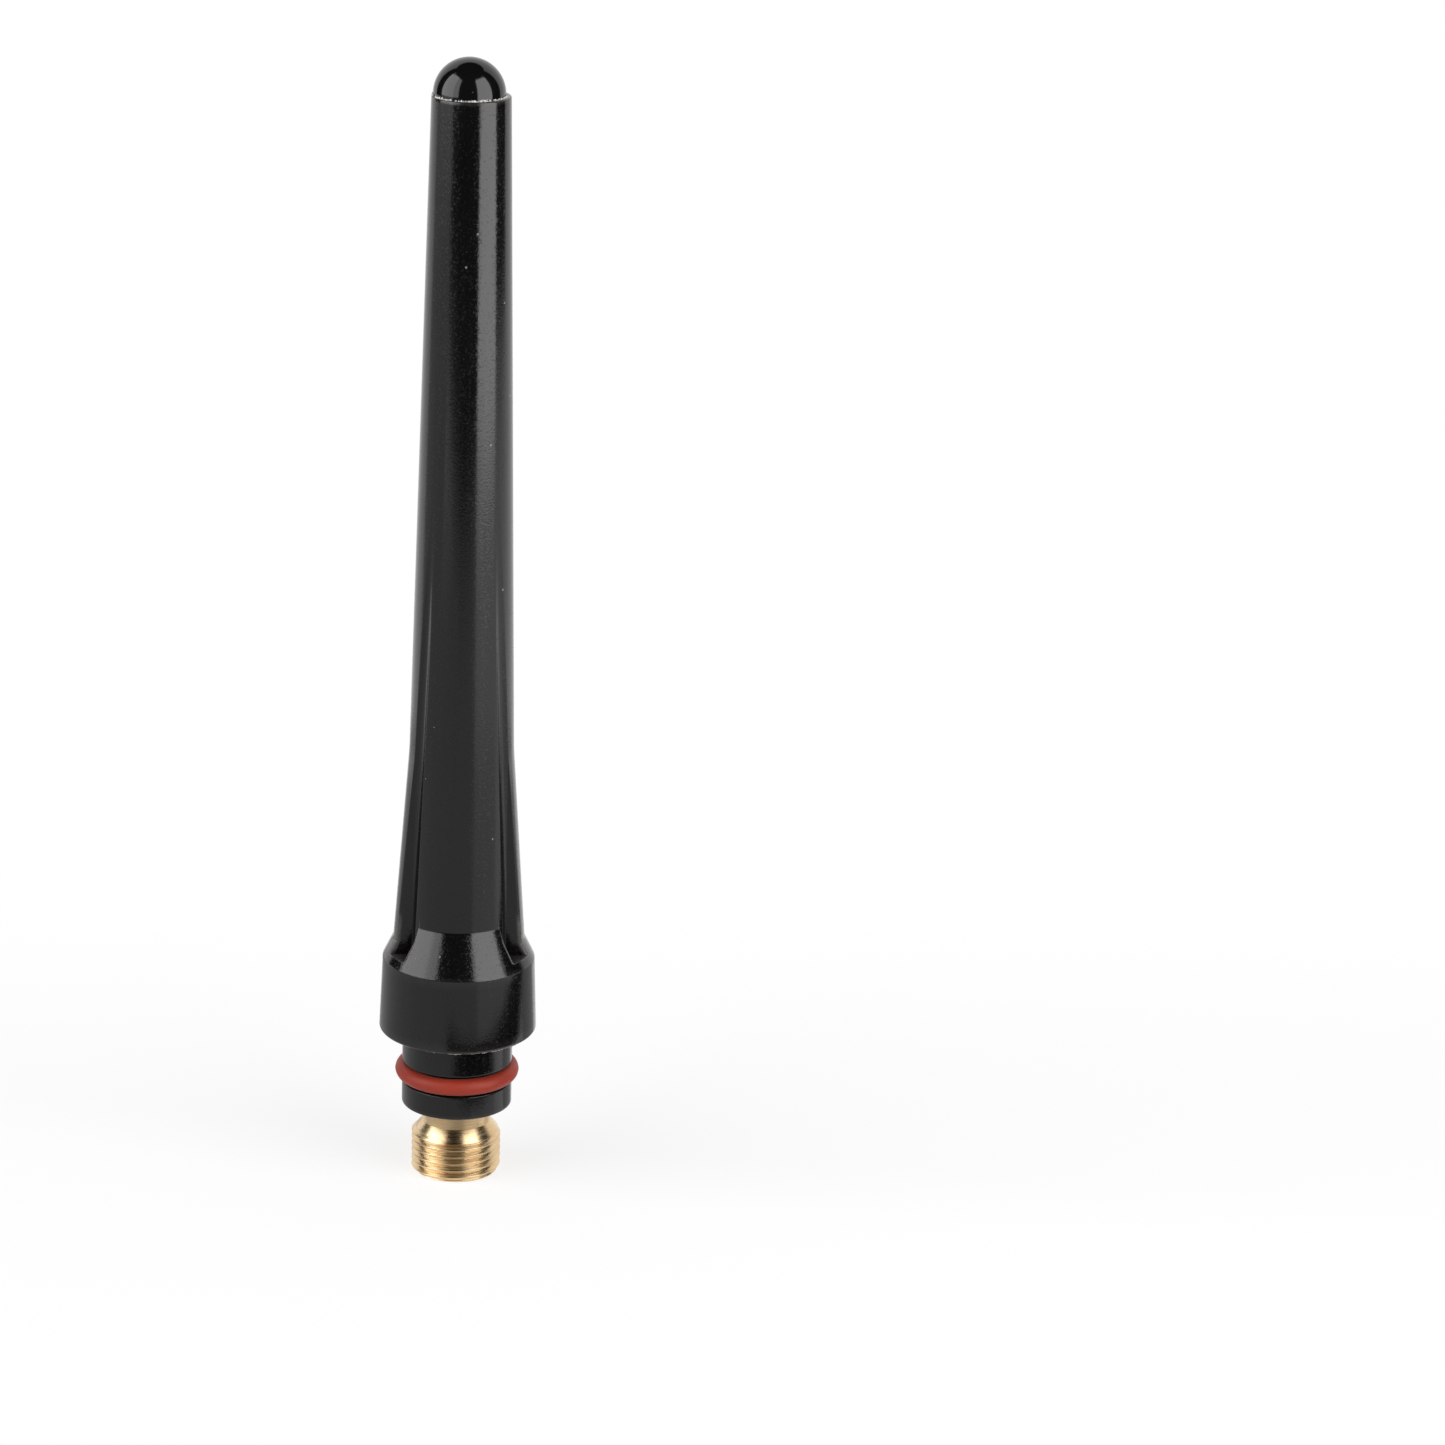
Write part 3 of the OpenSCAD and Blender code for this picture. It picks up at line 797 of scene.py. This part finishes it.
# flash: the thin torn edge that the mould left round the plug and under the collar
flashShape = {
    "rimFlash": {
        "node": "end_plug", "radius": plugShape["domeR"] + 0.04, "z": plugShape["rimZ"],
        "shift": -plugShape["domeShift"], "wide": 0.09, "high": 0.24,
        "start": -180.0, "sweep": 360.0, "perDegree": 1.2, "gaps": 0.3, "seed": 4},
    "collarFlash": {
        "node": "cap_body", "radius": bodyShape["collarR"] - 0.26, "z": bodyShape["collarZ"] + 0.02,
        "shift": 0.0, "wide": 0.05, "high": -0.06,
        "start": -24.0, "sweep": 74.0, "perDegree": 1.2, "gaps": 0.35, "seed": 9},
}


def whitenedNylon():
    # nylon pulled thin and torn: it turns pale and lets some light through
    material, tree = newMaterial("nylon flash, whitened")
    where = addNode(tree, "ShaderNodeTexCoord").outputs["Object"]
    torn = addNode(tree, "ShaderNodeTexNoise", {
        "Vector": where, "Scale": 3500.0, "Detail": 2.0})  # shreds of 0.3 mm
    tone = addNode(tree, "ShaderNodeValToRGB", {"Fac": torn.outputs["Fac"]})
    setRamp(tone, [(0.36, linearColour("#6e6a67")), (0.6, linearColour("#f0ece8"))])
    bump = addNode(tree, "ShaderNodeBump", {
        "Height": torn.outputs["Fac"], "Strength": 0.4, "Distance": 0.00003})
    nylon = addNode(tree, "ShaderNodeBsdfPrincipled", {
        "Base Color": tone.outputs["Color"], "Roughness": 0.6, "IOR": 1.53,
        "Normal": bump.outputs["Normal"]})
    addNode(tree, "ShaderNodeOutputMaterial", {"Surface": nylon.outputs[0]})
    return material


def makeFlash(name, s, material):
    # a low ridge, spun round and then torn: each of its sections gets its own height and place
    chance = Random(s["seed"])
    steps = round(s["sweep"] * s["perDegree"])
    closed = s["sweep"] == 360.0
    bm = bmesh.new()
    layer = bm.verts.layers.float.new("crest")
    verts = [bm.verts.new(Vector((s["radius"] + side * s["wide"], 0.0, s["z"] + up * s["high"])) * mm)
             for side, up in ((-1.0, -0.1), (0.0, 1.0), (1.0, -0.1))]
    verts[1][layer] = 1.0
    edges = [bm.edges.new((a, b)) for a, b in zip(verts, verts[1:] + verts[:1])]
    turn = Matrix.Rotation(math.radians(s["start"] - 90), 3, "Z")
    bmesh.ops.rotate(bm, verts=verts, cent=(0, 0, 0), matrix=turn)
    bmesh.ops.spin(bm, geom=verts + edges, cent=(0, 0, 0), axis=(0, 0, 1), dvec=(0, 0, 0),
                   angle=math.radians(s["sweep"]), steps=steps, use_merge=closed)
    height = 0.5
    for v in bm.verts:
        if v[layer] > 0.5:
            fresh = 0.0 if chance.random() < s["gaps"] else chance.uniform(0.4, 1.0)
            height = 0.5 * height + 0.5 * fresh
            sway = chance.uniform(-0.4, 0.4)
            v.co.z = (s["z"] + s["high"] * (1.3 * height - 0.15)) * mm
            reach = v.co.xy.length
            v.co.x *= 1 + sway * s["wide"] * mm / reach
            v.co.y *= 1 + sway * s["wide"] * mm / reach
    if not closed:
        bmesh.ops.holes_fill(bm, edges=[e for e in bm.edges if len(e.link_faces) == 1], sides=3)
    bmesh.ops.translate(bm, vec=(s["shift"] * mm, 0.0, 0.0), verts=bm.verts)
    shadeAndPlace(bm, name, s["node"], material, 60)


flashNylon = whitenedNylon()
for flashName, flashSettings in flashShape.items():
    makeFlash(flashName, flashSettings, flashNylon)


# O-ring: red silicone, stretched over the spigot
ringShape = {
    "section": 1.78, "floorR": 4.86, "sealZ": bodyShape["sealZ"], "squeeze": 0.04,
    "flash": 0.015, "flashHalf": 0.02, "around": 128, "points": 36,
}


def redSilicone():
    # moulded silicone rubber: matt brick red, paler where it is seen edge on, with fine dust
    material, tree = newMaterial("moulded silicone rubber, red")
    where = addNode(tree, "ShaderNodeTexCoord").outputs["Object"]
    grain = addNode(tree, "ShaderNodeTexNoise", {
        "Vector": where, "Scale": 2600.0, "Detail": 4.0, "Roughness": 0.65})  # dust, 0.4 mm apart
    cloud = addNode(tree, "ShaderNodeTexNoise", {
        "Vector": where, "Scale": 350.0, "Detail": 2.0})  # uneven pigment, 3 mm
    base = addNode(tree, "ShaderNodeValToRGB", {"Fac": cloud.outputs["Fac"]})
    setRamp(base, [(0.3, linearColour("#942a18")), (0.7, linearColour("#a03420"))])
    dust = addNode(tree, "ShaderNodeMapRange", {
        "Value": grain.outputs["Fac"], "From Min": 0.62, "From Max": 0.8, "To Min": 0.0, "To Max": 0.3})
    tone = addNode(tree, "ShaderNodeMix", {
        "Factor": dust.outputs["Result"], "A": base.outputs["Color"],
        "B": linearColour("#b8705c")}, data_type="RGBA")
    bump = addNode(tree, "ShaderNodeBump", {
        "Height": grain.outputs["Fac"], "Strength": 0.2, "Distance": 0.00002})
    rubber = addNode(tree, "ShaderNodeBsdfPrincipled", {
        "Base Color": tone.outputs["Result"], "Roughness": 0.5, "IOR": 1.4, "Sheen Weight": 0.08,
        "Sheen Roughness": 0.4, "Normal": bump.outputs["Normal"]})
    addNode(tree, "ShaderNodeOutputMaterial", {"Surface": rubber.outputs[0]})
    return material


def makeRing(s, material):
    bm = bmesh.new()
    middle = bodyShape["sealFloorR"] - s["squeeze"] + s["section"] / 2
    made = bmesh.ops.create_circle(bm, segments=s["points"], radius=s["section"] / 2 * mm)
    bmesh.ops.rotate(bm, verts=bm.verts, cent=(0, 0, 0), matrix=Matrix.Rotation(math.pi / 2, 3, "X"))
    for v in made["verts"]:
        v.co.x = max(v.co.x + middle * mm, s["floorR"] * mm)
        if abs(v.co.z) < s["flashHalf"] * mm and v.co.x > middle * mm:
            v.co.x += s["flash"] * mm
        v.co.z += s["sealZ"] * mm
    bmesh.ops.spin(bm, geom=bm.verts[:] + bm.edges[:], cent=(0, 0, 0), axis=(0, 0, 1), dvec=(0, 0, 0),
                   angle=math.tau, steps=s["around"], use_merge=True)
    shadeAndPlace(bm, "sealRing", "o_ring", material, 50)


makeRing(ringShape, redSilicone())


# threaded insert: turned brass
insertTop = boxOf("threaded_insert")[1].z
insertShape = {
    "majorR": mounts["torch_thread"]["dims"]["r_mm"] + 0.0025, "pitch": 0.79375, "depth": 0.487,
    "crest": 0.07, "turns": 9, "around": 120, "threadTop": 5.0, "threadGap": 0.002,
    "endR": 4.35, "coneZ": 4.55, "coneR": 4.6, "neckZ": 5.7, "neckR": 3.6,
    "shankZ": 8.6, "shankR": 3.85, "knurlR": 4.15, "knurlZ": 8.62, "topZ": insertTop,
    "grooveZ": 12.2, "grooveTopZ": 13.4, "grooveR": 3.5, "taperZ": 16.6, "taper": 0.4,
    "socketR": mounts["collet_socket"]["dims"]["r_mm"], "socketZ": 6.5, "channelR": 2.2, "mouth": 0.3,
}


def turnedBrass():
    # free-cutting brass, turned: bright pale gold with fine rings from the tool
    material, tree = newMaterial("free-cutting brass, turned")
    where = addNode(tree, "ShaderNodeTexCoord").outputs["Object"]
    flat = addNode(tree, "ShaderNodeMapping", {"Vector": where, "Scale": (0.02, 0.02, 1.0)})
    rings = addNode(tree, "ShaderNodeTexNoise", {
        "Vector": flat.outputs[0], "Scale": 9000.0, "Detail": 2.0})  # tool marks, 0.1 mm apart
    cloud = addNode(tree, "ShaderNodeTexNoise", {
        "Vector": where, "Scale": 500.0, "Detail": 3.0})  # tarnish in patches of 2 mm
    tone = addNode(tree, "ShaderNodeValToRGB", {"Fac": cloud.outputs["Fac"]})
    setRamp(tone, [(0.3, linearColour("#dab88a")), (0.7, linearColour("#e8cfa6"))])
    gloss = addNode(tree, "ShaderNodeMapRange", {
        "Value": rings.outputs["Fac"], "From Min": 0.3, "From Max": 0.7, "To Min": 0.22, "To Max": 0.34})
    bump = addNode(tree, "ShaderNodeBump", {
        "Height": rings.outputs["Fac"], "Strength": 0.3, "Distance": 0.00001})
    around = addNode(tree, "ShaderNodeTangent", direction_type="RADIAL", axis="Z")
    brass = addNode(tree, "ShaderNodeBsdfPrincipled", {
        "Base Color": tone.outputs["Color"], "Metallic": 1.0, "Roughness": gloss.outputs["Result"],
        "Anisotropic": 0.6, "Anisotropic Rotation": 0.25,
        "Normal": bump.outputs["Normal"], "Tangent": around.outputs["Tangent"]})
    addNode(tree, "ShaderNodeOutputMaterial", {"Surface": brass.outputs[0]})
    return material


def barRadius(s, z):
    # what the chamfered end and the relief cone leave of the bar
    fall = (s["coneR"] - s["neckR"]) / (s["neckZ"] - s["coneZ"])
    return min(s["majorR"], s["endR"] + z, s["coneR"] - (z - s["coneZ"]) * fall)


def growRing(bm, loop, radius, z):
    # extrude an open rim to a circle of that radius and height
    grown = bmesh.ops.extrude_edge_only(bm, edges=loop)["geom"]
    for v in grown:
        if isinstance(v, bmesh.types.BMVert):
            out = v.co.xy.normalized() * radius * mm
            v.co = Vector((out.x, out.y, z * mm))
    return [e for e in grown if isinstance(e, bmesh.types.BMEdge)]


def makeInsert(s, material):
    bm = bmesh.new()
    # one pitch of the thread, as shares of the pitch and of the depth: a narrow crest that is
    # slightly rounded, straight flanks and a rounded root
    half = s["crest"] / 2
    flank = [(half, 0.0), (s["crest"], 0.01), (0.1 + half, 0.1), (0.42, 0.93), (0.47, 0.99), (0.5, 1.0)]
    marks = [(-place, deep) for place, deep in flank[::-1]] + flank
    points = [Vector((s["majorR"] - s["depth"] * deep, 0.0, place * s["pitch"])) for place, deep in marks]
    verts = [bm.verts.new(point * mm) for point in points]
    edges = [bm.edges.new((a, b)) for a, b in zip(verts, verts[1:])]
    bmesh.ops.translate(bm, verts=verts, vec=(0.0, 0.0, -s["pitch"] * mm))
    bmesh.ops.spin(bm, geom=verts + edges, cent=(0, 0, 0), axis=(0, 0, 1),
                   dvec=(0, 0, s["pitch"] * mm / s["around"]), angle=math.tau * s["turns"],
                   steps=s["around"] * s["turns"], use_merge=False)
    bmesh.ops.remove_doubles(bm, verts=bm.verts, dist=s["threadGap"] * mm)
    # turn it down to the bar's outline, then cut it off square at both ends
    for v in bm.verts:
        most = barRadius(s, v.co.z / mm) * mm
        reach = v.co.xy.length
        if reach > most:
            v.co.x *= most / reach
            v.co.y *= most / reach
    for height, below in ((0.0, True), (s["threadTop"], False)):
        bmesh.ops.bisect_plane(bm, geom=bm.verts[:] + bm.edges[:] + bm.faces[:], dist=mergeGap,
                               plane_co=(0, 0, height * mm), plane_no=(0, 0, 1),
                               clear_inner=below, clear_outer=not below)
    openEdges = [e for e in bm.edges if len(e.link_faces) == 1]
    slack, top = 0.001 * mm, s["threadTop"] * mm
    foot = [e for e in openEdges if all(abs(v.co.z) < slack for v in e.verts)]
    head = [e for e in openEdges if all(abs(v.co.z - top) < slack for v in e.verts)]
    # cone, neck and shank above the thread
    neck, knurl = s["neckR"], s["knurlR"]
    for radius, z in ((neck + 0.05, s["neckZ"] - 0.06), (neck + 0.01, s["neckZ"] - 0.01),
                      (neck, s["neckZ"] + 0.05), (neck, s["shankZ"]), (s["shankR"], s["shankZ"]),
                      (knurl, s["knurlZ"]), (knurl, s["grooveZ"]),
                      (s["grooveR"], s["grooveZ"]), (s["grooveR"], s["grooveTopZ"]),
                      (knurl, s["grooveTopZ"]), (knurl, s["taperZ"]),
                      (knurl - s["taper"], s["topZ"]), (s["channelR"], s["topZ"])):
        head = growRing(bm, head, radius, z)
    # end face, mouth chamfer, collet socket, seat and channel below
    socket, mouth = s["socketR"], s["mouth"]
    seatZ = s["socketZ"] + socket - s["channelR"]
    for radius, z in ((socket + mouth + 0.03, 0.0), (socket + mouth, 0.01), (socket, mouth),
                      (socket, s["socketZ"]), (s["channelR"], seatZ)):
        foot = growRing(bm, foot, radius, z)
    bmesh.ops.bridge_loops(bm, edges=head + foot)
    shadeAndPlace(bm, "brassInsert", "threaded_insert", material, 28)


makeInsert(insertShape, turnedBrass())
